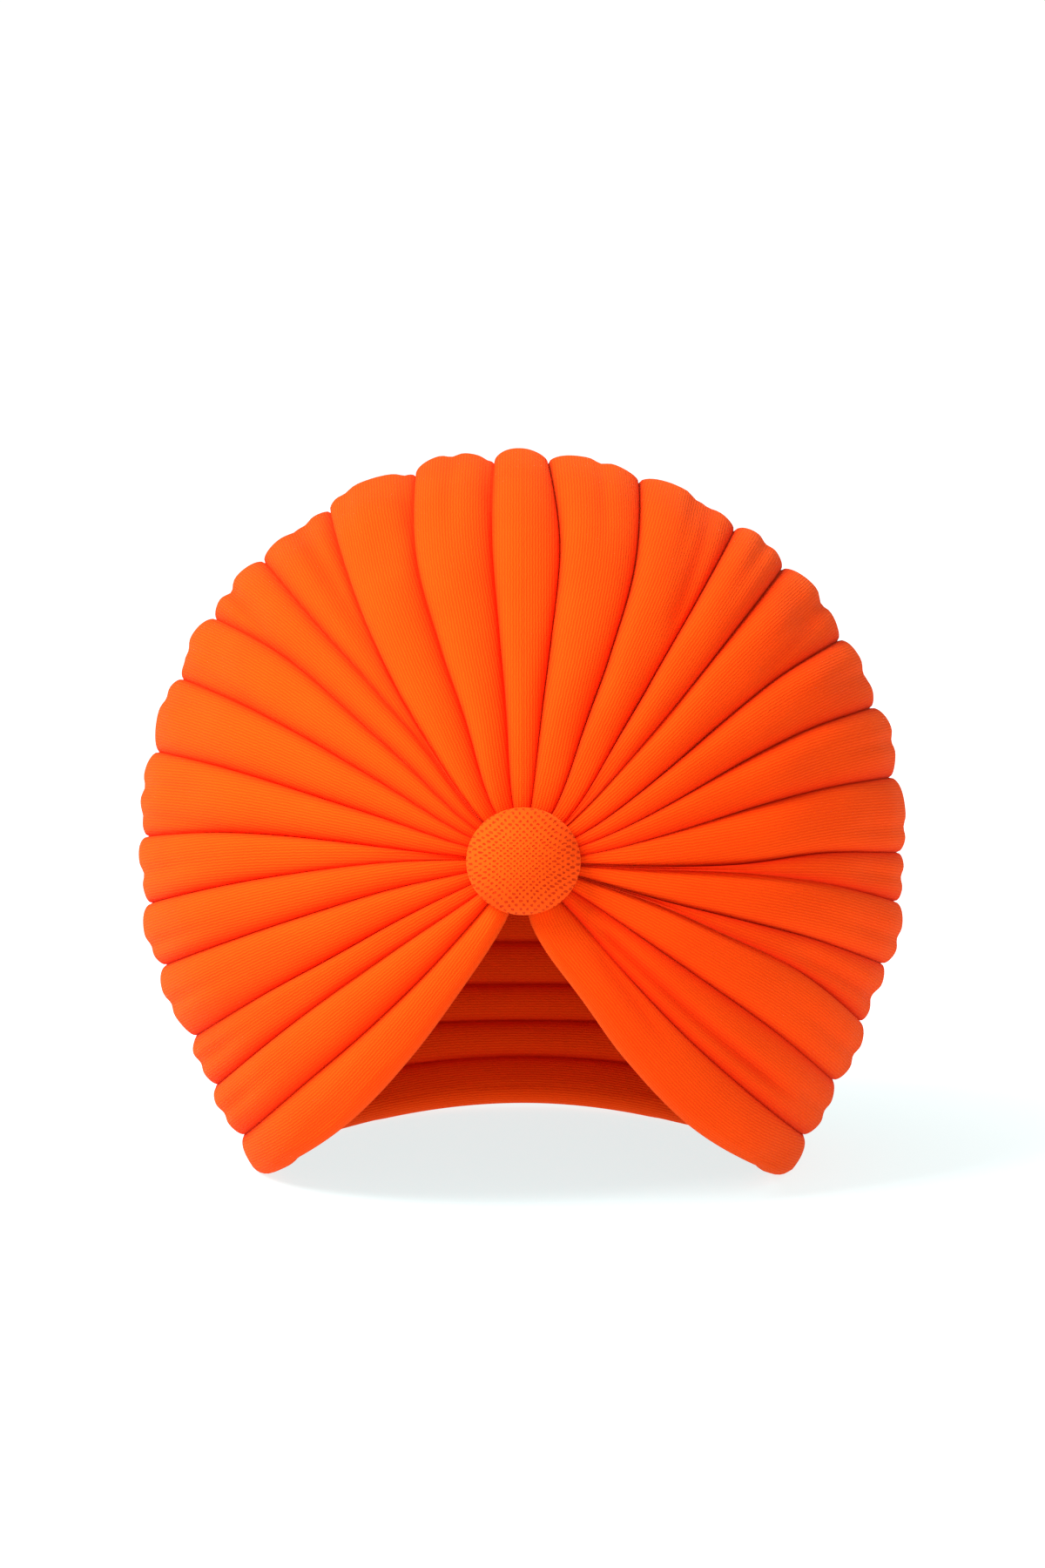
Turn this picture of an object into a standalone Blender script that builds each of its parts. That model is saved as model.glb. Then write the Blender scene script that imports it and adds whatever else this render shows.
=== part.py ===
"""A pleated turban hat: a padded knit crown gathered at the forehead, and the ball button on the gather.

Metres, +Z up. The hat faces -Y and rests on the floor at Z = 0, with the origin under its middle.

Fold lines fan out from the gather, cross the widest section of the hat, and run level round the back to meet
those of the other side. Line 0 is the open edge, which runs down the front V and round the nape. Lines 1 to 13
are the creases between the folds. Line 14 runs straight up over the top, and ends behind it at the whorl.
"""

import math
from collections import namedtuple

import bmesh
import bpy
import numpy as np
from mathutils import Matrix, Vector

MM = 0.001

# The fan: a dome round the button's axis, which faces forwards and a little up.
FAN_TILT = math.radians(8.3)
GATHER_Y = -0.0961
GATHER_HEIGHT = 0.1016
FRONT_DEPTH = 0.100

# The outline of the widest section: radius in mm round the button's axis, at degrees from straight up.
OUTLINE_ANGLES = (0.0, 25.0, 50.0, 75.0, 100.0, 120.0, 140.0)
OUTLINE_LEFT = (117.6, 117.7, 115.3, 111.9, 110.2, 109.6, 117.2)
OUTLINE_RIGHT = (117.6, 116.1, 113.9, 111.0, 110.1, 110.2, 117.0)

# The back, as its middle line shows it from the side.
BULGE_Y = 0.1088
BULGE_HEIGHT = 0.085
REACH_ABOVE = 0.118
REACH_BELOW = 0.134
BACK_POWER = 2.3

# The padded wall and its folds.
WALL = 0.0090
WALL_AT_GATHER = 0.0050
FOLD_DEPTH = 0.0036
FOLD_DEPTH_SHARE = 0.30
FOLD_POWER = 2.1
CREST_SHIFT = 0.08
LINING_DEPTH = 0.0022
GATHER_SINK = 0.0040
GATHER_SINK_RADIUS = 0.0160
GATHER_HOLE_RADIUS = 0.0055

# The ball button and its shank.
BUTTON_RADIUS = 0.0156
BUTTON_FLATNESS = 0.94
BUTTON_FRONT = 0.0125
BUTTON_WIDEST = 0.0012
BUTTON_BACK = 0.0026
SHANK_RADIUS = 0.0040
SHANK_END = 0.0070
BUTTON_SIDES = 28

# The share of the way from the button's axis to the outline at which a fold line's angles are given.
SHARES = (0.14, 0.31, 0.53, 0.76, 1.0)

# One line a row: its angles in degrees from straight up on the left and the right, as seen from the front, and
# the height in mm at which it crosses the middle of the back. lean is above 0 where the fold below the line
# overlaps the one above it, and below 0 where it is the other way round. sink is how far, in mm, the fold
# above the line lies below its neighbours.
Line = namedtuple("Line", "left right back_height lean_left lean_right sink_left sink_right")
LINES = (
    Line((155.0, 150.0, 146.5, 143.5, 138.6), (165.0, 154.2, 149.0, 145.0, 138.9), 3.8, 0.0, 0.0, 0.0, 0.0),
    Line((139.8, 139.1, 137.2, 135.2, 134.1), (135.9, 137.2, 137.1, 135.7, 134.1), 12.6, 0.5, 0.6, 0.0, 0.0),
    Line((125.8, 124.4, 124.3, 124.9, 125.9), (121.0, 122.3, 123.1, 123.6, 125.0), 23.3, 0.5, -0.6, 0.5, 0.0),
    Line((114.0, 115.1, 116.6, 117.1, 118.0), (107.0, 107.4, 109.8, 111.5, 115.4), 34.4, 0.6, 0.6, 0.0, 1.2),
    Line((101.5, 101.8, 103.7, 105.1, 106.3), (105.4, 106.0, 105.3, 105.0, 106.0), 47.4, 0.6, -0.4, 0.0, 0.0),
    Line((88.0, 89.9, 92.5, 94.5, 96.5), (94.6, 93.6, 92.9, 94.0, 96.2), 60.0, 0.5, 0.6, 0.8, 1.0),
    Line((86.0, 84.7, 84.0, 84.5, 86.3), (92.8, 92.4, 91.1, 88.6, 88.7), 75.0, 0.6, -0.4, 0.0, 0.0),
    Line((75.6, 73.4, 72.8, 72.7, 73.4), (84.5, 80.4, 77.5, 76.5, 77.2), 93.0, 0.5, 0.6, 0.0, 0.0),
    Line((66.0, 62.2, 60.8, 60.9, 62.0), (75.5, 70.6, 66.6, 65.3, 66.3), 112.0, 0.4, 0.5, 0.0, 0.0),
    Line((56.5, 51.4, 49.7, 49.5, 51.9), (66.0, 60.3, 56.1, 54.4, 55.1), 131.0, 0.4, 0.4, 0.0, 0.0),
    Line((47.5, 41.8, 40.9, 41.2, 41.0), (50.4, 47.0, 44.5, 42.8, 41.6), 149.0, 0.0, 0.4, 1.2, 0.0),
    Line((45.5, 40.4, 36.3, 32.6, 29.0), (47.0, 39.5, 35.6, 33.9, 32.6), 165.0, -0.7, 0.4, 0.0, 0.0),
    Line((30.0, 23.4, 21.4, 19.8, 15.6), (31.3, 25.5, 23.0, 21.0, 17.0), 178.0, -0.7, 0.4, 0.0, 0.0),
    Line((10.5, 7.0, 6.1, 5.7, 4.2), (7.5, 7.1, 7.2, 6.8, 3.6), 187.0, -0.6, 0.4, 0.0, 0.0),
    Line((0.0, 0.0, 0.0, 0.0, 0.0), (0.0, 0.0, 0.0, 0.0, 0.0), 190.0, 0.0, 0.0, 0.0, 0.0),
)
LAST_FOLD = len(LINES) - 2

# Where rows of points lie across a fold, as shares of its width, outside and inside.
OUTER_SHARES = (0.0, 0.1, 0.35, 0.65, 0.9)
INNER_SHARES = (0.0, 0.5)
FRONT_STATIONS = 13
STATION_CROWDING = 1.2
BACK_STATIONS = 10
EDGE_ANGLES = (45.0, 90.0, 135.0)


def smooth_through(places, values, at):
    """A smooth curve through the values at those places, read at each point of at."""
    places = np.asarray(places, float)
    values = np.asarray(values, float)
    slopes = np.gradient(values, places)
    i = np.clip(np.searchsorted(places, at, side="right") - 1, 0, len(places) - 2)
    step = places[i + 1] - places[i]
    t = np.clip((at - places[i]) / step, 0.0, 1.0)
    rise = values[i + 1] - values[i]
    bend_in = slopes[i] * step - rise
    bend_out = rise - slopes[i + 1] * step
    return values[i] + t * rise + t * (1 - t) * ((1 - t) * bend_in + t * bend_out)


def eased(value, low, high):
    """0 below low, 1 above high, and a smooth step between them."""
    t = np.clip((value - low) / (high - low), 0.0, 1.0)
    return t * t * (3 - 2 * t)


def outline_radius(side, angle):
    """Distance from the button's axis to the widest section, at an angle from straight up."""
    table = OUTLINE_LEFT if side < 0 else OUTLINE_RIGHT
    return smooth_through(np.radians(OUTLINE_ANGLES), table, angle) * MM


def fan_point(angle, radius, depth):
    """A point of the fan: angle and radius round the button's axis, and depth behind the gather along it."""
    up = radius * np.cos(angle)
    across = radius * np.sin(angle)
    y = GATHER_Y + up * math.sin(FAN_TILT) + depth * math.cos(FAN_TILT)
    z = GATHER_HEIGHT + up * math.cos(FAN_TILT) - depth * math.sin(FAN_TILT)
    return np.stack([across, y, z], axis=-1)


def back_reach(height):
    """How far back the middle line of the back lies at a height."""
    reach = np.where(height > BULGE_HEIGHT, REACH_ABOVE, REACH_BELOW)
    share = np.abs(height - BULGE_HEIGHT) / reach
    return BULGE_Y * (1 - share**BACK_POWER) ** (1 / BACK_POWER)


def rows_of(shares):
    """(fold, share) of each row of points, from the open edge to the line over the top."""
    rows = [(fold, share) for fold in range(LAST_FOLD + 1) for share in shares]
    first = [(0, share) for share in shares if share != 0.1]
    last = [(LAST_FOLD, 2 * share) for share in shares if share < 0.5]
    return first + rows[len(shares):-len(shares)] + last + [(LAST_FOLD, 1.0)]


def across_fold(fold, share):
    """Where a row lies across the whole fold: the first and the last fold are only half of one."""
    if fold == 0:
        return 0.5 + share / 2
    if fold == LAST_FOLD:
        return share / 2
    return share


def front_angles(side, share_out):
    """Angle of every fold line at each share of the way out, on one side."""
    tables = [line.left if side < 0 else line.right for line in LINES]
    return np.radians([smooth_through(SHARES, table, share_out) for table in tables])


def half_surface(side, rows):
    """The smooth dome over the tops of the folds, on one side: a grid of rows by stations."""
    start = math.asin(GATHER_HOLE_RADIUS / FRONT_DEPTH)
    turn = start + (math.pi / 2 - start) * np.linspace(0.0, 1.0, FRONT_STATIONS) ** STATION_CROWDING
    angles = front_angles(side, np.sin(turn))
    fold = np.array([f for f, _ in rows])
    share = np.array([s for _, s in rows])[:, None]
    angle = angles[fold] * (1 - share) + angles[fold + 1] * share
    radius = outline_radius(side, angle) * np.sin(turn)
    sink = GATHER_SINK * np.exp(-((radius / GATHER_SINK_RADIUS) ** 2))
    front = fan_point(side * angle, radius, FRONT_DEPTH * (1 - np.cos(turn)) + sink)

    heights = np.array([line.back_height for line in LINES])[:, None] * MM
    height = heights[fold] * (1 - share) + heights[fold + 1] * share
    rim = front[:, -1]
    sweep = np.linspace(0.0, math.pi / 2, BACK_STATIONS + 1)[1:]
    lift = 1 + 3 * np.clip(1 - (fold[:, None] + share) / 3, 0.0, None) ** 2
    x = rim[:, :1] * np.cos(sweep)
    y = rim[:, 1:2] + (back_reach(height) - rim[:, 1:2]) * np.sin(sweep)
    z = rim[:, 2:] + (height - rim[:, 2:]) * np.sin(sweep) ** lift
    return np.concatenate([front, np.stack([x, y, z], axis=-1)], axis=1)


def whole_surface(rows):
    """Both sides as one grid: along each row from the gather round the back to the gather again."""
    left = half_surface(-1, rows)
    right = half_surface(1, rows)
    left[:, -1, 0] = 0.0
    return np.concatenate([left, right[:, -2::-1]], axis=1)


def outward(grid):
    """Unit normals of a grid, pointing out of the dome."""
    across = grid[1:, 1:] - grid[:-1, :-1]
    other = grid[1:, :-1] - grid[:-1, 1:]
    faces = np.cross(across, other)
    total = np.zeros_like(grid)
    for down in (0, 1):
        for along in (0, 1):
            rows = slice(down, grid.shape[0] - 1 + down)
            columns = slice(along, grid.shape[1] - 1 + along)
            total[rows, columns] += faces
    total[-1] += total[-1, ::-1]
    middle = grid.mean(axis=(0, 1))
    sign = np.sign(np.sum(total * (grid - middle), axis=2).sum())
    return sign * total / np.linalg.norm(total, axis=2, keepdims=True)


def fold_widths():
    """Width of each fold at every station, over the smooth dome."""
    lines = whole_surface([(fold, 0.0) for fold in range(LAST_FOLD + 1)] + [(LAST_FOLD, 1.0)])
    widths = np.linalg.norm(lines[1:] - lines[:-1], axis=2)
    widths[0] *= 2
    widths[LAST_FOLD] *= 2
    return widths


def wall_thickness():
    """Thickness of the wall at each station, thinner where the folds are drawn together."""
    turn = np.linspace(0.0, 1.0, FRONT_STATIONS)
    front = WALL_AT_GATHER + (WALL - WALL_AT_GATHER) * eased(turn, 0.05, 0.5)
    half = np.concatenate([front, np.full(BACK_STATIONS, WALL)])
    return np.concatenate([half, half[-2::-1]])


def fold_leans():
    """Each line's lean at every station. Round the back it passes from one side's lean to the other's."""
    sweep = np.linspace(0.0, math.pi / 2, BACK_STATIONS + 1)[1:]
    own = np.concatenate([np.ones(FRONT_STATIONS), (1 + np.cos(sweep)) / 2])
    left = np.array([[line.lean_left] for line in LINES])
    right = np.array([[line.lean_right] for line in LINES])
    on_left = own * left + (1 - own) * right
    on_right = own * right + (1 - own) * left
    return np.concatenate([on_left, on_right[:, -2::-1]], axis=1)


def fold_fall(place, below, above):
    """How low a point of a fold lies: 0 on its crest, and 1 in the creases at places 0 and 1. It is round in
    section, full on a side that overlaps the next fold and long on a side that is tucked under one. below
    and above are the leans of the lines on its two sides."""
    crest = 0.5 + CREST_SHIFT * (below + above)
    lower = np.clip(1 - place / crest, 0.0, 1.0) ** (FOLD_POWER * (1 - 0.3 * below))
    upper = np.clip((place - crest) / (1 - crest), 0.0, 1.0) ** (FOLD_POWER * (1 + 0.3 * above))
    return 1 - np.sqrt(1 - np.maximum(lower, upper))


def crown_points():
    """Grids of the outer side and the lining side of the wall, and the rows that round the open edge."""
    outer_rows = rows_of(OUTER_SHARES)
    inner_rows = rows_of(INNER_SHARES)
    outer = whole_surface(outer_rows)
    normal = outward(outer)
    stations = outer.shape[1]
    middle = stations // 2
    wall = wall_thickness()[:, None]
    widths = fold_widths()
    leans = fold_leans()

    edge = outer[0] - outer[1]
    edge -= normal[0] * np.sum(edge * normal[0], axis=1, keepdims=True)
    edge /= np.linalg.norm(edge, axis=1, keepdims=True)
    rounding = []
    for angle in np.radians(EDGE_ANGLES):
        rounding.append(outer[0] + (normal[0] * (math.cos(angle) - 1) + edge * math.sin(angle)) * wall / 2)

    for i, (fold, share) in enumerate(outer_rows):
        low = fold_fall(across_fold(fold, share), leans[fold], leans[fold + 1])
        depth = np.minimum(FOLD_DEPTH, FOLD_DEPTH_SHARE * widths[fold])
        sinks = np.full(stations, LINES[fold].sink_left * MM)
        sinks[middle:] = LINES[fold].sink_right * MM
        outer[i] -= normal[i] * (depth * low + sinks * (1 - low))[:, None]

    inner = whole_surface(inner_rows)
    inner_normal = outward(inner)
    for i, (fold, share) in enumerate(inner_rows):
        low = fold_fall(across_fold(fold, share), 0.0, 0.0)
        inner[i] -= inner_normal[i] * (wall - LINING_DEPTH * low)
    inner[0] = outer[0] - normal[0] * wall
    return outer, inner, rounding, outer_rows, inner_rows


def grid_vertices(mesh, grid, joined_top):
    """The mesh's vertices for a grid. Where the top line is joined, both its sides share their vertices."""
    made = [[mesh.verts.new(point) for point in row] for row in grid[:-1]]
    top = [mesh.verts.new(point) for point in grid[-1][: len(grid[-1]) // 2 + 1]]
    if joined_top:
        made.append(top + top[-2::-1])
    return made


def quads_between(mesh, first, second):
    """Faces between two rows of vertices."""
    for a, b, c, d in zip(first[:-1], first[1:], second[1:], second[:-1]):
        corners = []
        for corner in (a, b, c, d):
            if corner not in corners:
                corners.append(corner)
        mesh.faces.new(corners)


def zip_between(mesh, first, first_places, second, second_places):
    """Triangles between two rows with different numbers of vertices, in step along both."""
    i = 0
    j = 0
    while i < len(first) - 1 or j < len(second) - 1:
        first_done = i == len(first) - 1
        second_done = j == len(second) - 1
        if second_done or (not first_done and first_places[i + 1] <= second_places[j + 1]):
            mesh.faces.new((first[i], first[i + 1], second[j]))
            i += 1
        else:
            mesh.faces.new((first[i], second[j + 1], second[j]))
            j += 1


def material(name, colour, roughness):
    """A plain matt material."""
    made = bpy.data.materials.new(name)
    made.use_nodes = True
    shader = made.node_tree.nodes["Principled BSDF"]
    shader.inputs["Base Color"].default_value = (*colour, 1.0)
    shader.inputs["Roughness"].default_value = roughness
    shader.inputs["Metallic"].default_value = 0.0
    made.diffuse_color = (*colour, 1.0)
    return made


def finished(mesh, name, surface):
    """The mesh as an object of that name, smooth but for its creases."""
    bmesh.ops.recalc_face_normals(mesh, faces=mesh.faces)
    data = bpy.data.meshes.new(name)
    mesh.to_mesh(data)
    mesh.free()
    data.materials.append(surface)
    data.shade_smooth()
    data.set_sharp_from_angle(angle=math.radians(40))
    made = bpy.data.objects.new(name, data)
    bpy.context.scene.collection.objects.link(made)
    return made


def build_crown(surface):
    """The pleated shell: outer side, lining side, rounded open edge, and the ring of the gather."""
    outer, inner, rounding, outer_rows, inner_rows = crown_points()
    for grid in (outer, inner, *rounding):
        grid[..., 2] = np.maximum(grid[..., 2], 0.0)
    mesh = bmesh.new()
    outside = grid_vertices(mesh, outer, True)
    inside = grid_vertices(mesh, inner, True)
    edge = [[mesh.verts.new(point) for point in row] for row in rounding]
    for rows in (outside, inside, [outside[0], *edge, inside[0]]):
        for first, second in zip(rows[:-1], rows[1:]):
            quads_between(mesh, first, second)
    outer_places = [fold + share for fold, share in outer_rows]
    inner_places = [fold + share for fold, share in inner_rows]
    for end in (0, -1):
        outer_end = [row[end] for row in outside]
        inner_end = [row[end] for row in inside]
        zip_between(mesh, outer_end, outer_places, inner_end, inner_places)
        mesh.faces.new([outer_end[0], *[row[end] for row in edge], inner_end[0]])
    return finished(mesh, "pleated_crown", surface)


def build_button(surface):
    """The ball button: a turned form with a flattened front half, and a shank in the gather's hole."""
    profile = []
    height = BUTTON_FRONT + BUTTON_WIDEST
    for angle in np.radians(np.linspace(0.0, 90.0, 8)):
        profile.append((BUTTON_RADIUS * math.sin(angle), BUTTON_WIDEST - height * math.cos(angle)))
    profile.append((BUTTON_RADIUS * 0.93, BUTTON_WIDEST + 0.7 * (BUTTON_BACK - BUTTON_WIDEST)))
    profile.append((BUTTON_RADIUS * 0.78, BUTTON_BACK))
    profile.append((SHANK_RADIUS, BUTTON_BACK))
    profile.append((SHANK_RADIUS, SHANK_END))
    profile.append((0.0, SHANK_END))

    mesh = bmesh.new()
    points = [mesh.verts.new((radius, 0.0, depth)) for radius, depth in profile]
    edges = [mesh.edges.new(pair) for pair in zip(points[:-1], points[1:])]
    bmesh.ops.spin(
        mesh,
        geom=points + edges,
        axis=(0, 0, 1),
        cent=(0, 0, 0),
        steps=BUTTON_SIDES,
        angle=2 * math.pi,
    )
    bmesh.ops.remove_doubles(mesh, verts=mesh.verts, dist=0.00001)
    made = finished(mesh, "knit_button", surface)
    made.data.transform(Matrix.Diagonal((1.0, BUTTON_FLATNESS, 1.0, 1.0)))
    made.rotation_euler = (-math.pi / 2 - FAN_TILT, 0.0, 0.0)
    made.location = Vector((0.0, GATHER_Y, GATHER_HEIGHT))
    return made


def main():
    for old in list(bpy.data.objects):
        bpy.data.objects.remove(old)
    build_crown(material("orange_pleated_knit", (1.0, 0.13, 0.006), 0.85))
    build_button(material("orange_button_knit", (1.0, 0.15, 0.010), 0.85))


main()
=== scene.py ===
"""The pleated turban hat, dressed: the padded jersey crown with its overlapping folds, and the knit ball button."""

import math
from collections import namedtuple

import bmesh
import bpy
import numpy as np
from mathutils import Matrix, Vector


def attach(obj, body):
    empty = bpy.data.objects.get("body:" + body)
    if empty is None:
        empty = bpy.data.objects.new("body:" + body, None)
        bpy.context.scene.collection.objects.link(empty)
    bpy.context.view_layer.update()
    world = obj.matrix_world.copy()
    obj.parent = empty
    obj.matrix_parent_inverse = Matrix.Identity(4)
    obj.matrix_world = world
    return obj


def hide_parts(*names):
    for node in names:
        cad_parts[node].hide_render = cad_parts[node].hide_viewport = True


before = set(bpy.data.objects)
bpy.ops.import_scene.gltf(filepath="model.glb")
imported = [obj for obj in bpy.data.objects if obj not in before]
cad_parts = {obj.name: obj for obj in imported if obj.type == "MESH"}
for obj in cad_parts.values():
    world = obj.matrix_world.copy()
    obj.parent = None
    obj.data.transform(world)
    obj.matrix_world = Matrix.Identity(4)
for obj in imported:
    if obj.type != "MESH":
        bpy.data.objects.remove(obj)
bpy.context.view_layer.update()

MM = 0.001

# The same form as the CAD: the fan in front, and the middle line of the back.
FAN_TILT = math.radians(8.3)
GATHER_Y = -0.0961
GATHER_HEIGHT = 0.1016
FRONT_DEPTH = 0.100
BULGE_Y = 0.1088
BULGE_HEIGHT = 0.085
REACH_ABOVE = 0.118
REACH_BELOW = 0.134
BACK_POWER = 2.3
WALL = 0.0090
WALL_AT_GATHER = 0.0050
GATHER_SINK = 0.0040
GATHER_SINK_RADIUS = 0.0160
GATHER_HOLE_RADIUS = 0.0055

# Radius in mm of the widest section round the button's axis, at degrees from straight up.
OUTLINE_ANGLES = (0.0, 25.0, 50.0, 75.0, 100.0, 120.0, 140.0)
OUTLINE_LEFT = (117.6, 117.7, 115.3, 111.9, 110.2, 109.6, 117.2)
OUTLINE_RIGHT = (117.6, 116.1, 113.9, 111.0, 110.1, 110.2, 117.0)

# The share of the way from the button's axis to the outline at which a fold line's angles are given.
SHARES = (0.14, 0.31, 0.53, 0.76, 1.0)

# One line a row, from the open edge up: degrees from straight up on both sides, the height in mm at the
# middle of the back, the lean (above 0 where the fold below the line overlaps the one above it), how far in
# mm the fold above the line sinks, and where that fold's rim is dented.
Line = namedtuple("Line", "left right back_height lean_left lean_right sink_left sink_right dent_left dent_right")
LINES = (
    Line((155.0, 150.0, 146.5, 143.5, 138.6), (165.0, 154.2, 149.0, 145.0, 138.9), 3.8, 0.0, 0.0, 0.0, 0.0, 0.5, 0.5),
    Line((139.8, 139.1, 137.2, 135.2, 134.1), (135.9, 137.2, 137.1, 135.7, 134.1), 12.6, 0.5, 0.6, 0.0, 0.0, 0.5, 0.5),
    Line((125.8, 124.4, 124.3, 124.9, 125.9), (121.0, 122.3, 123.1, 123.6, 125.0), 23.3, 0.5, -0.6, 0.5, 0.0, 0.5, 0.47),
    Line((114.0, 115.1, 116.6, 117.1, 118.0), (107.0, 107.4, 109.8, 111.5, 115.4), 34.4, 0.6, 0.6, 0.0, 1.2, 0.51, 0.49),
    Line((101.5, 101.8, 103.7, 105.1, 106.3), (105.4, 106.0, 105.3, 105.0, 106.0), 47.4, 0.6, -0.4, 0.0, 0.0, 0.34, 0.43),
    Line((88.0, 89.9, 92.5, 94.5, 96.5), (94.6, 93.6, 92.9, 94.0, 96.2), 60.0, 0.5, 0.6, 0.8, 1.0, 0.44, 0.5),
    Line((86.0, 84.7, 84.0, 84.5, 86.3), (92.8, 92.4, 91.1, 88.6, 88.7), 75.0, 0.6, -0.4, 0.0, 0.0, 0.57, 0.32),
    Line((75.6, 73.4, 72.8, 72.7, 73.4), (84.5, 80.4, 77.5, 76.5, 77.2), 93.0, 0.5, 0.6, 0.0, 0.0, 0.7, 0.48),
    Line((66.0, 62.2, 60.8, 60.9, 62.0), (75.5, 70.6, 66.6, 65.3, 66.3), 112.0, 0.4, 0.5, 0.0, 0.0, 0.4, 0.47),
    Line((56.5, 51.4, 49.7, 49.5, 51.9), (66.0, 60.3, 56.1, 54.4, 55.1), 131.0, 0.4, 0.4, 0.0, 0.0, 0.4, 0.45),
    Line((47.5, 41.8, 40.9, 41.2, 41.0), (50.4, 47.0, 44.5, 42.8, 41.6), 149.0, 0.0, 0.4, 1.2, 0.0, 0.67, 0.46),
    Line((45.5, 40.4, 36.3, 32.6, 29.0), (47.0, 39.5, 35.6, 33.9, 32.6), 165.0, -0.7, 0.4, 0.0, 0.0, 0.22, 0.45),
    Line((30.0, 23.4, 21.4, 19.8, 15.6), (31.3, 25.5, 23.0, 21.0, 17.0), 178.0, -0.7, 0.4, 0.0, 0.0, 0.49, 0.45),
    Line((10.5, 7.0, 6.1, 5.7, 4.2), (7.5, 7.1, 7.2, 6.8, 3.6), 187.0, -0.6, 0.4, 0.0, 0.0, 0.5, 0.5),
    Line((0.0, 0.0, 0.0, 0.0, 0.0), (0.0, 0.0, 0.0, 0.0, 0.0), 190.0, 0.0, 0.0, 0.0, 0.0, 0.5, 0.5),
)
LAST_FOLD = len(LINES) - 2

# Smaller tucks within a fold, from one share of the way out and place across the fold to another. Depth and
# width are in mm.
Tuck = namedtuple("Tuck", "side fold from_share from_place to_share to_place depth width")
TUCKS = (
    Tuck(-1, 2, 0.72, 0.80, 1.0, 0.93, 0.8, 2.2),
    Tuck(-1, 6, 0.76, 0.06, 1.0, 0.24, 0.8, 2.4),
    Tuck(-1, 8, 0.70, 0.04, 1.0, 0.22, 0.8, 2.6),
    Tuck(-1, 9, 0.78, 0.06, 1.0, 0.42, 1.1, 2.6),
    Tuck(-1, 10, 0.58, 0.96, 1.0, 0.50, 1.3, 3.2),
    Tuck(-1, 11, 0.80, 0.99, 1.0, 0.88, 0.8, 1.8),
    Tuck(-1, 12, 0.80, 0.98, 1.0, 0.92, 0.7, 1.6),
    Tuck(1, 0, 0.22, 0.93, 0.62, 0.78, 1.2, 2.2),
    Tuck(1, 1, 0.20, 0.38, 0.96, 0.33, 2.6, 1.9),
    Tuck(1, 3, 0.70, 0.42, 1.0, 0.38, 1.1, 2.6),
    Tuck(1, 8, 0.72, 0.12, 1.0, 0.35, 0.7, 2.6),
    Tuck(1, 9, 0.70, 0.10, 1.0, 0.40, 0.9, 3.0),
    Tuck(1, 11, 0.62, 0.12, 1.0, 0.32, 1.4, 3.0),
)
RIM_SHARE = 0.97
TUCK_END = 1.9
# How much painted shade a tuck adds, for each mm of its depth.
TUCK_SHADE = 0.25

# The dressed folds: how deep the creases are at the rim, how much deeper in front of it, and the rim's dents.
FOLD_DEPTH = 0.0036
FRONT_EXTRA = 0.0010
DEPTH_SHARE = 0.36
FOLD_POWER = 2.1
CREST_SHIFT = 0.07
RIM_DENT = 0.0010
# How far the painted shade reaches out from a crease.
SHADE_REACH = 0.0013
LINING_DEPTH = 0.0028

FRONT_STATIONS = 64
BACK_STATIONS = 36
OUTER_ROWS = 24
INNER_ROWS = 8
EDGE_ROWS = 11

# The jersey: rib and stitch spacing on the crown, in mm.
RIB_MM = 0.80
STITCH_MM = 0.62


def smooth_through(places, values, at):
    """A smooth curve through the values at those places, read at each point of at."""
    places = np.asarray(places, float)
    values = np.asarray(values, float)
    slopes = np.gradient(values, places)
    i = np.clip(np.searchsorted(places, at, side="right") - 1, 0, len(places) - 2)
    step = places[i + 1] - places[i]
    t = np.clip((at - places[i]) / step, 0.0, 1.0)
    rise = values[i + 1] - values[i]
    bend_in = slopes[i] * step - rise
    bend_out = rise - slopes[i + 1] * step
    return values[i] + t * rise + t * (1 - t) * ((1 - t) * bend_in + t * bend_out)


def eased(value, low, high):
    """0 below low, 1 above high, and a smooth step between them."""
    t = np.clip((value - low) / (high - low), 0.0, 1.0)
    return t * t * (3 - 2 * t)


def outline_radius(side, angle):
    """Distance from the button's axis to the widest section, at an angle from straight up."""
    table = OUTLINE_LEFT if side < 0 else OUTLINE_RIGHT
    return smooth_through(np.radians(OUTLINE_ANGLES), table, angle) * MM


def fan_point(angle, radius, depth):
    """A point of the fan: angle and radius round the button's axis, and depth behind the gather along it."""
    up = radius * np.cos(angle)
    across = radius * np.sin(angle)
    y = GATHER_Y + up * math.sin(FAN_TILT) + depth * math.cos(FAN_TILT)
    z = GATHER_HEIGHT + up * math.cos(FAN_TILT) - depth * math.sin(FAN_TILT)
    return np.stack([across, y, z], axis=-1)


def back_reach(height):
    """How far back the middle line of the back lies at a height."""
    reach = np.where(height > BULGE_HEIGHT, REACH_ABOVE, REACH_BELOW)
    share = np.abs(height - BULGE_HEIGHT) / reach
    return BULGE_Y * (1 - share**BACK_POWER) ** (1 / BACK_POWER)


def rows_of(count):
    """(fold, share) of each row of points, closer together near the creases."""
    even = np.arange(count) / count
    shares = 0.45 * even + 0.55 * (1 - np.cos(np.pi * even)) / 2
    rows = [(fold, share) for fold in range(LAST_FOLD) for share in shares]
    half = count // 2
    rows += [(LAST_FOLD, 2 * share) for share in shares[:half]]
    return rows + [(LAST_FOLD, 1.0)]


def across_fold(fold, share):
    """Where a row lies across the whole fold: the first and the last fold are only half of one."""
    if fold == 0:
        return 0.5 + share / 2
    if fold == LAST_FOLD:
        return share / 2
    return share


def station_turns():
    """The front stations' angles back from the button's axis, closer together near the gather."""
    start = math.asin(GATHER_HOLE_RADIUS / FRONT_DEPTH)
    return start + (math.pi / 2 - start) * np.linspace(0.0, 1.0, FRONT_STATIONS) ** 1.2


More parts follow.
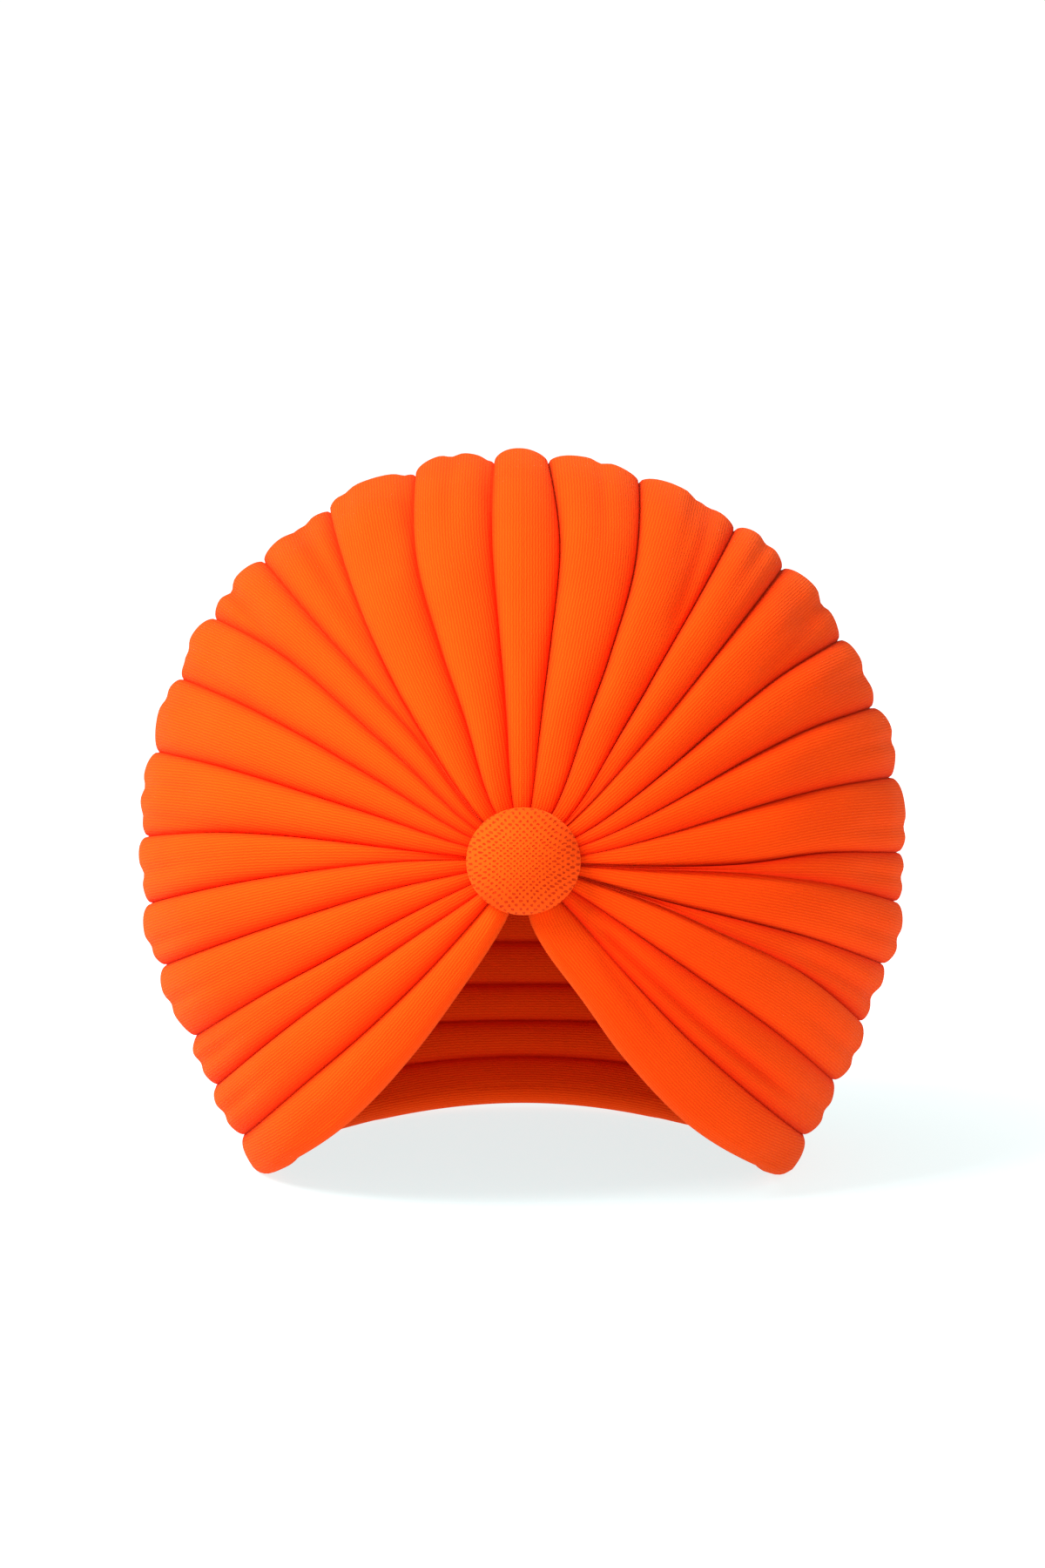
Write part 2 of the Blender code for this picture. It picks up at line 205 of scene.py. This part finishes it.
def back_sweeps():
    """The back stations' angles round from the rim to the middle of the back."""
    return np.linspace(0.0, math.pi / 2, BACK_STATIONS + 1)[1:]


def half_surface(side, rows):
    """The smooth dome over the tops of the folds, on one side: a grid of rows by stations."""
    turn = station_turns()
    tables = [line.left if side < 0 else line.right for line in LINES]
    angles = np.radians([smooth_through(SHARES, table, np.sin(turn)) for table in tables])
    fold = np.array([f for f, _ in rows])
    share = np.array([s for _, s in rows])[:, None]
    angle = angles[fold] * (1 - share) + angles[fold + 1] * share
    radius = outline_radius(side, angle) * np.sin(turn)
    sink = GATHER_SINK * np.exp(-((radius / GATHER_SINK_RADIUS) ** 2))
    front = fan_point(side * angle, radius, FRONT_DEPTH * (1 - np.cos(turn)) + sink)

    heights = np.array([line.back_height for line in LINES])[:, None] * MM
    height = heights[fold] * (1 - share) + heights[fold + 1] * share
    rim = front[:, -1]
    sweep = back_sweeps()
    lift = 1 + 3 * np.clip(1 - (fold[:, None] + share) / 3, 0.0, None) ** 2
    x = rim[:, :1] * np.cos(sweep)
    y = rim[:, 1:2] + (back_reach(height) - rim[:, 1:2]) * np.sin(sweep)
    z = rim[:, 2:] + (height - rim[:, 2:]) * np.sin(sweep) ** lift
    return np.concatenate([front, np.stack([x, y, z], axis=-1)], axis=1)


def whole_surface(rows):
    """Both sides as one grid: along each row from the gather round the back to the gather again."""
    left = half_surface(-1, rows)
    right = half_surface(1, rows)
    left[:, -1, 0] = 0.0
    return np.concatenate([left, right[:, -2::-1]], axis=1)


def both_sides(half, other=None):
    """A value along one side's stations, made to run along both."""
    other = half if other is None else other
    return np.concatenate([half, other[-2::-1]])


def outward(grid):
    """Unit normals of a grid, pointing out of the dome."""
    across = grid[1:, 1:] - grid[:-1, :-1]
    other = grid[1:, :-1] - grid[:-1, 1:]
    faces = np.cross(across, other)
    total = np.zeros_like(grid)
    for down in (0, 1):
        for along in (0, 1):
            rows = slice(down, grid.shape[0] - 1 + down)
            columns = slice(along, grid.shape[1] - 1 + along)
            total[rows, columns] += faces
    total[-1] += total[-1, ::-1]
    middle = grid.mean(axis=(0, 1))
    sign = np.sign(np.sum(total * (grid - middle), axis=2).sum())
    return sign * total / np.linalg.norm(total, axis=2, keepdims=True)


def fold_widths():
    """Width of each fold at every station, over the smooth dome."""
    lines = whole_surface([(fold, 0.0) for fold in range(LAST_FOLD + 1)] + [(LAST_FOLD, 1.0)])
    widths = np.linalg.norm(lines[1:] - lines[:-1], axis=2)
    widths[0] *= 2
    widths[LAST_FOLD] *= 2
    return widths


def fold_leans():
    """Each line's lean at every station. Round the back it passes from one side's lean to the other's."""
    own = np.concatenate([np.ones(FRONT_STATIONS), (1 + np.cos(back_sweeps())) / 2])
    left = np.array([[line.lean_left] for line in LINES])
    right = np.array([[line.lean_right] for line in LINES])
    on_left = own * left + (1 - own) * right
    on_right = own * right + (1 - own) * left
    return np.concatenate([on_left, on_right[:, -2::-1]], axis=1)


def fold_fall(place, below, above):
    """How low a point of a fold lies, from 0 on its crest to 1 in the creases: full on a side that overlaps
    the next fold, and long on a side that is tucked under one, by the leans of the lines on its two sides."""
    crest = 0.5 + CREST_SHIFT * (below + above)
    lower = np.clip(1 - place / crest, 0.0, 1.0) ** (FOLD_POWER * (1 - 0.3 * below))
    upper = np.clip((place - crest) / (1 - crest), 0.0, 1.0) ** (FOLD_POWER * (1 + 0.5 * above))
    return 1 - np.sqrt(1 - np.maximum(lower, upper))


def crease_depth(width):
    """How deep the creases beside a fold are, at each station, for its width there."""
    middle = np.sin(2 * np.minimum(station_turns(), math.pi / 2))
    extra = both_sides(np.concatenate([FRONT_EXTRA * middle, np.zeros(BACK_STATIONS)]))
    return np.minimum(FOLD_DEPTH + extra, DEPTH_SHARE * width)


def tuck_share(tuck, place, width):
    """How strongly a tuck shows in one row of its fold, at each station. One at the rim runs on over it."""
    out = np.concatenate([np.sin(station_turns()), 1 + back_sweeps()])
    over_rim = tuck.to_share > RIM_SHARE
    end, fade = (TUCK_END, 0.4) if over_rim else (tuck.to_share, 0.2)
    weight = eased(out, tuck.from_share, tuck.from_share + 0.10) * (1 - eased(out, end - fade, end))
    weight = both_sides(weight, 0 * weight) if tuck.side < 0 else both_sides(0 * weight, weight)
    track = np.interp(out, (tuck.from_share, tuck.to_share), (tuck.from_place, tuck.to_place))
    away = (place - both_sides(track)) * width / (tuck.width * MM)
    return weight * np.exp(-np.abs(away) ** 1.5)


def soft_noise(grid, size, seed):
    """A smooth field over the points from a few sine waves of about that size."""
    dice = np.random.default_rng(seed)
    total = np.zeros(grid.shape[:2])
    for _ in range(14):
        way = dice.normal(size=3)
        way *= 2 * math.pi / (size * dice.uniform(0.8, 1.9) * np.linalg.norm(way))
        total += np.sin(grid @ way + dice.uniform(0, 2 * math.pi))
    return total / math.sqrt(14)


def wall_thickness():
    """Thickness of the wall at each station, thinner where the folds are drawn together."""
    turn = np.linspace(0.0, 1.0, FRONT_STATIONS)
    front = WALL_AT_GATHER + (WALL - WALL_AT_GATHER) * eased(turn, 0.05, 0.5)
    return both_sides(np.concatenate([front, np.full(BACK_STATIONS, WALL)]))


def rim_share():
    """How strongly the rim's dents show at each station: they fade towards the button and round the back."""
    front = eased(np.sin(station_turns()), 0.72, 0.98)
    back = 1 - eased(back_sweeps(), 0.5, 1.3)
    return both_sides(np.concatenate([front, back]))


def crown_points():
    """Grids of the outer side and the lining side, the rows round the open edge, and both sets of rows."""
    outer_rows = rows_of(OUTER_ROWS)
    inner_rows = rows_of(INNER_ROWS)
    outer = whole_surface(outer_rows)
    normal = outward(outer)
    stations = outer.shape[1]
    middle = stations // 2
    wall = wall_thickness()[:, None]
    widths = fold_widths()
    leans = fold_leans()
    dents = rim_share()

    edge = outer[0] - outer[1]
    edge -= normal[0] * np.sum(edge * normal[0], axis=1, keepdims=True)
    edge /= np.linalg.norm(edge, axis=1, keepdims=True)
    rounding = []
    for angle in np.linspace(0.0, math.pi, EDGE_ROWS + 2)[1:-1]:
        rounding.append(outer[0] + (normal[0] * (math.cos(angle) - 1) + edge * math.sin(angle)) * wall / 2)

    swell = soft_noise(outer, 0.030, 3) * 0.00045
    for i, (fold, share) in enumerate(outer_rows):
        place = across_fold(fold, share)
        fall = crease_depth(widths[fold]) * fold_fall(place, leans[fold], leans[fold + 1])
        sinks = np.full(stations, LINES[fold].sink_left * MM)
        sinks[middle:] = LINES[fold].sink_right * MM
        dent_place = np.full(stations, LINES[fold].dent_left)
        dent_place[middle:] = LINES[fold].dent_right
        top = math.sin(math.pi * min(max(place, 0.0), 1.0))
        dent = RIM_DENT * dents * np.exp(-(((place - dent_place) * widths[fold] / 0.0022) ** 2))
        if fold in (0, LAST_FOLD):
            dent = 0 * dent
        for tuck in TUCKS:
            if tuck.fold == fold:
                fall = fall + tuck.depth * MM * tuck_share(tuck, place, widths[fold])
        outer[i] -= normal[i] * (fall + (sinks + dent - swell[i]) * top)[:, None]

    inner = whole_surface(inner_rows)
    inner_normal = outward(inner)
    for i, (fold, share) in enumerate(inner_rows):
        fall = LINING_DEPTH * fold_fall(across_fold(fold, share), 0.0, 0.0)
        inner[i] -= inner_normal[i] * (wall - fall)
    inner[0] = outer[0] - normal[0] * wall
    return outer, inner, rounding, outer_rows, inner_rows


def cloth_places(rows, widths):
    """Across and along, in cm, of each point of the cloth: across from its fold's middle, along from the gather."""
    middles = whole_surface([(fold, 0.5) for fold in range(LAST_FOLD + 1)])
    steps = np.linalg.norm(middles[:, 1:] - middles[:, :-1], axis=2)
    along = np.concatenate([np.zeros((LAST_FOLD + 1, 1)), np.cumsum(steps, axis=1)], axis=1)
    places = []
    for fold, share in rows:
        across = (across_fold(fold, share) - 0.5) * widths[fold]
        places.append(np.stack([across * 100 + 7 * fold, along[fold] * 100], axis=-1))
    return np.array(places)


def painted_crease_shade(rows, widths, leans, tucked):
    """How near each point lies to a crease: 1 in it, falling off slowly on the side that is tucked under. The jersey
    is darkened by it as painted shade in the creases and tucks.
    """
    near = []
    for fold, share in rows:
        place = across_fold(fold, share)
        below = np.exp(-place * widths[fold] / (SHADE_REACH * (1 + 0.9 * leans[fold])))
        above = np.exp(-(1 - place) * widths[fold] / (SHADE_REACH * (1 - 0.9 * leans[fold + 1])))
        shade = above if fold == 0 else np.maximum(below, above)
        for tuck in TUCKS if tucked else ():
            if tuck.fold == fold:
                shade = np.maximum(shade, TUCK_SHADE * tuck.depth * tuck_share(tuck, place, widths[fold]))
        near.append(np.minimum(shade, 1.0))
    return np.array(near)


def add_grid(mesh, grid, shades, layer):
    """Vertices for a grid whose last row is the line over the top, where both sides share their vertices."""
    made = [[mesh.verts.new(point) for point in row] for row in grid[:-1]]
    top = [mesh.verts.new(point) for point in grid[-1][: len(grid[-1]) // 2 + 1]]
    made.append(top + top[-2::-1])
    for row, row_shades in zip(made, shades):
        for vert, shade in zip(row, row_shades):
            vert[layer] = shade
    return made


def quads_between(mesh, first, second, cloth, first_places, second_places):
    """Faces between two rows of vertices, with the cloth's places at their corners."""
    for j in range(len(first) - 1):
        corners = ((first[j], first_places[j]), (first[j + 1], first_places[j + 1]))
        corners += ((second[j + 1], second_places[j + 1]), (second[j], second_places[j]))
        kept = []
        for corner in corners:
            if corner[0] not in [vert for vert, _ in kept]:
                kept.append(corner)
        if len(kept) < 3:
            continue
        face = mesh.faces.new([vert for vert, _ in kept])
        for loop, (_, place) in zip(face.loops, kept):
            loop[cloth].uv = place


def zip_between(mesh, first, first_at, second, second_at):
    """Triangles between two rows with different numbers of vertices, in step along both."""
    i = 0
    j = 0
    while i < len(first) - 1 or j < len(second) - 1:
        first_done = i == len(first) - 1
        second_done = j == len(second) - 1
        if second_done or (not first_done and first_at[i + 1] <= second_at[j + 1]):
            mesh.faces.new((first[i], first[i + 1], second[j]))
            i += 1
        else:
            mesh.faces.new((first[i], second[j + 1], second[j]))
            j += 1


def finished(mesh, name, surface):
    """The mesh as a smooth object of that name."""
    bmesh.ops.recalc_face_normals(mesh, faces=mesh.faces)
    data = bpy.data.meshes.new(name)
    mesh.to_mesh(data)
    mesh.free()
    data.materials.append(surface)
    data.shade_smooth()
    made = bpy.data.objects.new(name, data)
    bpy.context.scene.collection.objects.link(made)
    return made


def build_crown(surface):
    """The pleated shell, with its folds, its lining side, its rolled edge and the ring of the gather."""
    outer, inner, rounding, outer_rows, inner_rows = crown_points()
    widths = fold_widths()
    for grid in (outer, inner, *rounding):
        grid[..., 2] = np.maximum(grid[..., 2], 0.0)
    outer_places = cloth_places(outer_rows, widths)
    inner_places = cloth_places(inner_rows, widths)
    mesh = bmesh.new()
    cloth = mesh.loops.layers.uv.new("cloth")
    # The crease layer carries painted shade: how far the jersey's colour is darkened near each crease and tuck.
    crease = mesh.verts.layers.float.new("crease")
    leans = fold_leans()
    outside = add_grid(mesh, outer, painted_crease_shade(outer_rows, widths, leans, True), crease)
    inside = add_grid(mesh, inner, painted_crease_shade(inner_rows, widths, 0 * leans, False), crease)
    for rows, places in ((outside, outer_places), (inside, inner_places)):
        for i in range(len(rows) - 1):
            second = places[i + 1].copy()
            if abs(second[0, 0] - places[i][0, 0]) > 3:
                fold = round((places[i][0, 0]) / 7)
                second[:, 0] = 50 * widths[fold] + 7 * fold
            quads_between(mesh, rows[i], rows[i + 1], cloth, places[i], second)
    edge = [[mesh.verts.new(point) for point in row] for row in rounding]
    rolled = [outside[0], *edge, inside[0]]
    arc = math.pi * WALL / 2 * 100
    for i in range(len(rolled) - 1):
        first = outer_places[0].copy()
        second = outer_places[0].copy()
        first[:, 0] -= arc * i / (len(rolled) - 1)
        second[:, 0] -= arc * (i + 1) / (len(rolled) - 1)
        quads_between(mesh, rolled[i], rolled[i + 1], cloth, first, second)
    outer_at = [fold + share for fold, share in outer_rows]
    inner_at = [fold + share for fold, share in inner_rows]
    for end in (0, -1):
        outer_end = [row[end] for row in outside]
        inner_end = [row[end] for row in inside]
        zip_between(mesh, outer_end, outer_at, inner_end, inner_at)
        mesh.faces.new([outer_end[0], *[row[end] for row in edge], inner_end[0]])
    return finished(mesh, "pleated_jersey", surface)


# The ball button, as the CAD has it.
BUTTON_RADIUS = 0.0156
BUTTON_FLATNESS = 0.94
BUTTON_FRONT = 0.0125
BUTTON_WIDEST = 0.0012
BUTTON_BACK = 0.0026
SHANK_RADIUS = 0.0040
SHANK_END = 0.0070
BUTTON_SIDES = 128


def build_button(surface):
    """The ball button: a turned dome, drawn in behind, with the cloth's places measured out from its middle."""
    profile = []
    height = BUTTON_FRONT + BUTTON_WIDEST
    for angle in np.radians(np.linspace(0.0, 90.0, 34)):
        profile.append((BUTTON_RADIUS * math.sin(angle), BUTTON_WIDEST - height * math.cos(angle)))
    for angle in np.radians(np.linspace(15.0, 90.0, 6)):
        reach = BUTTON_RADIUS * (0.78 + 0.22 * math.cos(angle))
        profile.append((reach, BUTTON_WIDEST + (BUTTON_BACK - BUTTON_WIDEST) * math.sin(angle)))
    profile.append((SHANK_RADIUS, BUTTON_BACK))
    profile.append((SHANK_RADIUS, SHANK_END))
    profile.append((0.0, SHANK_END))
    radii = np.array(profile)
    out = np.concatenate([[0.0], np.cumsum(np.linalg.norm(radii[1:] - radii[:-1], axis=1))]) * 100

    mesh = bmesh.new()
    cloth = mesh.loops.layers.uv.new("cloth")
    turns = np.linspace(0.0, 2 * math.pi, BUTTON_SIDES, endpoint=False)
    rings = []
    for radius, depth in profile:
        if radius < 1e-9:
            rings.append([mesh.verts.new((0.0, 0.0, depth))])
        else:
            rings.append([mesh.verts.new((radius * math.cos(t), radius * math.sin(t), depth)) for t in turns])
    for i in range(len(rings) - 1):
        for j in range(BUTTON_SIDES):
            k = (j + 1) % BUTTON_SIDES
            ends = [(i, j), (i, k), (i + 1, k), (i + 1, j)]
            if len(rings[i]) == 1:
                ends = [(i, 0), (i + 1, k), (i + 1, j)]
            elif len(rings[i + 1]) == 1:
                ends = [(i, j), (i, k), (i + 1, 0)]
            face = mesh.faces.new([rings[a][b] for a, b in ends])
            for loop, (a, b) in zip(face.loops, ends):
                t = turns[b] if b else (0.0 if j == 0 else (2 * math.pi if k == 0 else turns[j]))
                loop[cloth].uv = (out[a] * math.cos(t), out[a] * math.sin(t))
    made = finished(mesh, "button_jersey", surface)
    made.data.transform(Matrix.Diagonal((1.0, BUTTON_FLATNESS, 1.0, 1.0)))
    made.data.transform(Matrix.Rotation(-math.pi / 2 - FAN_TILT, 4, "X"))
    made.data.transform(Matrix.Translation((0.0, GATHER_Y, GATHER_HEIGHT)))
    return made


class Nodes:
    """Short calls for wiring one material."""

    def __init__(self, name):
        self.material = bpy.data.materials.new(name)
        self.material.use_nodes = True
        self.tree = self.material.node_tree
        self.shader = self.tree.nodes["Principled BSDF"]

    def add(self, kind, **settings):
        node = self.tree.nodes.new(kind)
        for key, value in settings.items():
            setattr(node, key, value)
        return node

    def link(self, start, end):
        self.tree.links.new(start, end)

    def math(self, operation, first, second=None):
        node = self.add("ShaderNodeMath", operation=operation)
        for socket, value in zip(node.inputs, (first, second)):
            if value is None:
                continue
            if isinstance(value, (int, float)):
                socket.default_value = value
            else:
                self.link(value, socket)
        return node.outputs[0]

    def noise(self, coordinates, scale, detail=2.0):
        node = self.add("ShaderNodeTexNoise")
        node.inputs["Scale"].default_value = scale
        node.inputs["Detail"].default_value = detail
        self.link(coordinates, node.inputs["Vector"])
        return node.outputs["Fac"]

    def blend(self, share, first, second):
        """Between two colours, by a share from 0 to 1."""
        node = self.add("ShaderNodeMix", data_type="RGBA")
        self.link(share, node.inputs[0])
        for socket, value in zip((node.inputs[6], node.inputs[7]), (first, second)):
            if isinstance(value, tuple):
                socket.default_value = (*value, 1.0)
            else:
                self.link(value, socket)
        return node.outputs[2]

    def bump(self, height, distance, strength):
        node = self.add("ShaderNodeBump")
        node.inputs["Distance"].default_value = distance
        node.inputs["Strength"].default_value = strength
        self.link(height, node.inputs["Height"])
        self.link(node.outputs["Normal"], self.shader.inputs["Normal"])


def jersey(name, light, deep):
    """Matt orange jersey: ribs along the fold, fine stitches along each rib, and a soft bloom of fibre. Its colour
    also carries painted shade, in the rib grooves and in the creases.
    """
    made = Nodes(name)
    place = made.add("ShaderNodeUVMap", uv_map="cloth").outputs["UV"]
    apart = made.add("ShaderNodeSeparateXYZ")
    made.link(place, apart.inputs[0])
    across, along = apart.outputs[0], apart.outputs[1]
    body = made.add("ShaderNodeTexCoord").outputs["Object"]

    waver = made.math("MULTIPLY", made.noise(place, 6.0), 0.06)
    turn = made.math("MULTIPLY", made.math("ADD", across, waver), 2 * math.pi / (RIB_MM / 10))
    rib = made.math("MULTIPLY", made.math("ADD", made.math("COSINE", turn), 1.0), 0.5)
    half_turn = made.math("MULTIPLY", turn, 0.5)
    step = made.math("MULTIPLY", along, 2 * math.pi / (STITCH_MM / 10))
    slant = made.math("ABSOLUTE", made.math("SINE", half_turn))
    stitch = made.math("SINE", made.math("ADD", step, made.math("MULTIPLY", slant, 2.4)))
    fuzz = made.noise(body, 2600.0, 3.0)
    height = made.math("ADD", made.math("MULTIPLY", rib, 0.62), made.math("MULTIPLY", stitch, 0.10))
    height = made.math("ADD", height, made.math("MULTIPLY", fuzz, 0.12))
    made.bump(height, 0.00020, 0.9)

    # The colour's shade is partly painted shade, darker in the rib grooves, and partly tone that differs at random in
    # patches.
    patch = made.noise(body, 42.0, 3.0)
    shade = made.math("ADD", made.math("MULTIPLY", rib, 0.62), made.math("MULTIPLY", patch, 0.40))
    cloth = made.blend(shade, deep, light)
    # Painted shade: the colour darkens to deep red near the creases and tucks, by the crease attribute.
    crease = made.add("ShaderNodeAttribute", attribute_name="crease").outputs["Fac"]
    shadow = made.math("MULTIPLY", crease, 0.8)
    made.link(made.blend(shadow, cloth, (0.78, 0.006, 0.0003)), made.shader.inputs["Base Color"])
    made.shader.inputs["Roughness"].default_value = 0.88
    made.shader.inputs["Specular IOR Level"].default_value = 0.05
    made.shader.inputs["Sheen Weight"].default_value = 0.20
    made.shader.inputs["Sheen Roughness"].default_value = 0.45
    made.shader.inputs["Sheen Tint"].default_value = (1.0, 0.30, 0.05, 1.0)
    return made.material


def button_knit(name, light, deep):
    """The same jersey pulled tight over the ball: the stitches open into small dents, drawn out at the rim. The dents
    are coloured darker as painted shade.
    """
    made = Nodes(name)
    place = made.add("ShaderNodeUVMap", uv_map="cloth").outputs["UV"]
    body = made.add("ShaderNodeTexCoord").outputs["Object"]
    apart = made.add("ShaderNodeSeparateXYZ")
    made.link(place, apart.inputs[0])
    length = made.add("ShaderNodeVectorMath", operation="LENGTH")
    made.link(place, length.inputs[0])
    out = made.math("MAXIMUM", length.outputs["Value"], 0.001)
    pull = made.math("DIVIDE", made.math("TANH", made.math("MULTIPLY", out, 0.75)), out)
    waver = made.math("MULTIPLY", made.noise(place, 7.0), 0.10)
    across = made.math("ADD", made.math("MULTIPLY", apart.outputs[0], pull), waver)
    along = made.math("MULTIPLY", apart.outputs[1], pull)
    column = made.math("COSINE", made.math("MULTIPLY", across, 2 * math.pi / 0.125))
    course = made.math("COSINE", made.math("MULTIPLY", along, 2 * math.pi / 0.105))
    lattice = made.math("MULTIPLY", column, course)
    dent = made.add("ShaderNodeMapRange", interpolation_type="SMOOTHSTEP")
    dent.inputs["From Min"].default_value = 0.15
    dent.inputs["From Max"].default_value = 0.85
    made.link(lattice, dent.inputs["Value"])
    spread = made.math("MULTIPLY", dent.outputs[0], made.math("ADD", made.noise(place, 9.0), 0.35))
    fuzz = made.noise(body, 2600.0, 3.0)
    height = made.math("SUBTRACT", made.math("MULTIPLY", fuzz, 0.25), spread)
    made.bump(height, 0.00042, 0.9)
    # Painted shade: the colour darkens in the stitch dents, by a random amount.
    made.link(made.blend(spread, light, deep), made.shader.inputs["Base Color"])
    made.shader.inputs["Roughness"].default_value = 0.85
    made.shader.inputs["Specular IOR Level"].default_value = 0.05
    made.shader.inputs["Sheen Weight"].default_value = 0.20
    made.shader.inputs["Sheen Roughness"].default_value = 0.45
    made.shader.inputs["Sheen Tint"].default_value = (1.0, 0.30, 0.05, 1.0)
    return made.material


def glowing_white(name, bounce_cancelling_base, bounce_cancelling_tint, glow):
    """White for the floor, glowing a little so that its shadows stay pale: painted light. Its base colour, and its
    glow near the hat, are tinted cyan to cancel the orange light bounced from the hat: painted light.
    """
    made = Nodes(name)
    made.shader.inputs["Base Color"].default_value = (*bounce_cancelling_base, 1.0)
    made.shader.inputs["Roughness"].default_value = 1.0
    made.shader.inputs["Specular IOR Level"].default_value = 0.0
    away = made.add("ShaderNodeVectorMath", operation="LENGTH")
    made.link(made.add("ShaderNodeTexCoord").outputs["Object"], away.inputs[0])
    # The cyan tint of the glow holds near the hat and gives way to plain white glow farther out: painted light.
    far = made.add("ShaderNodeMapRange", interpolation_type="SMOOTHSTEP")
    far.inputs["From Min"].default_value = 0.10
    far.inputs["From Max"].default_value = 0.24
    made.link(away.outputs["Value"], far.inputs["Value"])
    made.link(made.blend(far.outputs[0], bounce_cancelling_tint, (1.08, 1.08, 1.08)), made.shader.inputs["Emission Color"])
    made.shader.inputs["Emission Strength"].default_value = glow
    return made.material


def aim(obj, target):
    """Turns a lamp or a camera to look at a point."""
    way = Vector(target) - obj.location
    obj.rotation_euler = way.to_track_quat("-Z", "Y").to_euler()


def lamp(name, place, size, power, target=(0.0, 0.0, 0.10), colour=(1.0, 1.0, 1.0)):
    """A square soft light."""
    light = bpy.data.lights.new(name, "AREA")
    light.size = size
    light.energy = power
    light.color = colour
    made = bpy.data.objects.new(name, light)
    made.location = place
    aim(made, target)
    bpy.context.scene.collection.objects.link(made)
    return made


def build_studio():
    """White floor and surroundings, soft light from the upper left, and the camera at the photo's angle."""
    data = bpy.data.meshes.new("studio_floor")
    reach = 60.0
    corners = [(-reach, -reach, 0.0), (reach, -reach, 0.0), (reach, reach, 0.0), (-reach, reach, 0.0)]
    data.from_pydata(corners, [], [(0, 1, 2, 3)])
    # Floor: cyan base colour and cyan-tinted glow near the hat, painted light against the orange bounce.
    data.materials.append(glowing_white("studio_white", (0.30, 0.36, 0.36), (0.86, 1.0, 1.0), 0.80))
    floor = bpy.data.objects.new("studio_floor", data)
    bpy.context.scene.collection.objects.link(floor)

    world = bpy.data.worlds.new("studio")
    world.use_nodes = True
    world.node_tree.nodes["Background"].inputs["Color"].default_value = (1.0, 1.0, 1.0, 1.0)
    world.node_tree.nodes["Background"].inputs["Strength"].default_value = 0.60
    bpy.context.scene.world = world
    lamp("key", (-1.15, -0.75, 1.5), 1.1, 76.0)
    lamp("fill", (0.25, -2.20, 0.55), 1.0, 4.0)
    bpy.context.scene.view_settings.view_transform = "Standard"

    camera = bpy.data.cameras.new("camera")
    camera.sensor_fit = "HORIZONTAL"
    camera.sensor_width = 36.0
    camera.lens = 240.96
    camera.clip_end = 50.0
    view = bpy.data.objects.new("camera", camera)
    view.location = (-0.00024, -1.9785, 0.3773)
    view.rotation_euler = (math.radians(90.0 - 7.7), 0.0, 0.0)
    bpy.context.scene.collection.objects.link(view)
    bpy.context.scene.camera = view


build_studio()
# The jersey's light and deep colours: deep is painted shade for the rib grooves, mixed with random patches of tone.
crown = build_crown(jersey("orange_jersey", (0.98, 0.074, 0.0016), (0.84, 0.036, 0.0008)))
# The button's deep colour is painted shade for its stitch dents.
button = build_button(button_knit("orange_knit_button", (0.98, 0.070, 0.0024), (0.60, 0.015, 0.0006)))

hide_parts("pleated_crown")
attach(crown, "root")

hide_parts("knit_button")
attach(button, "root")
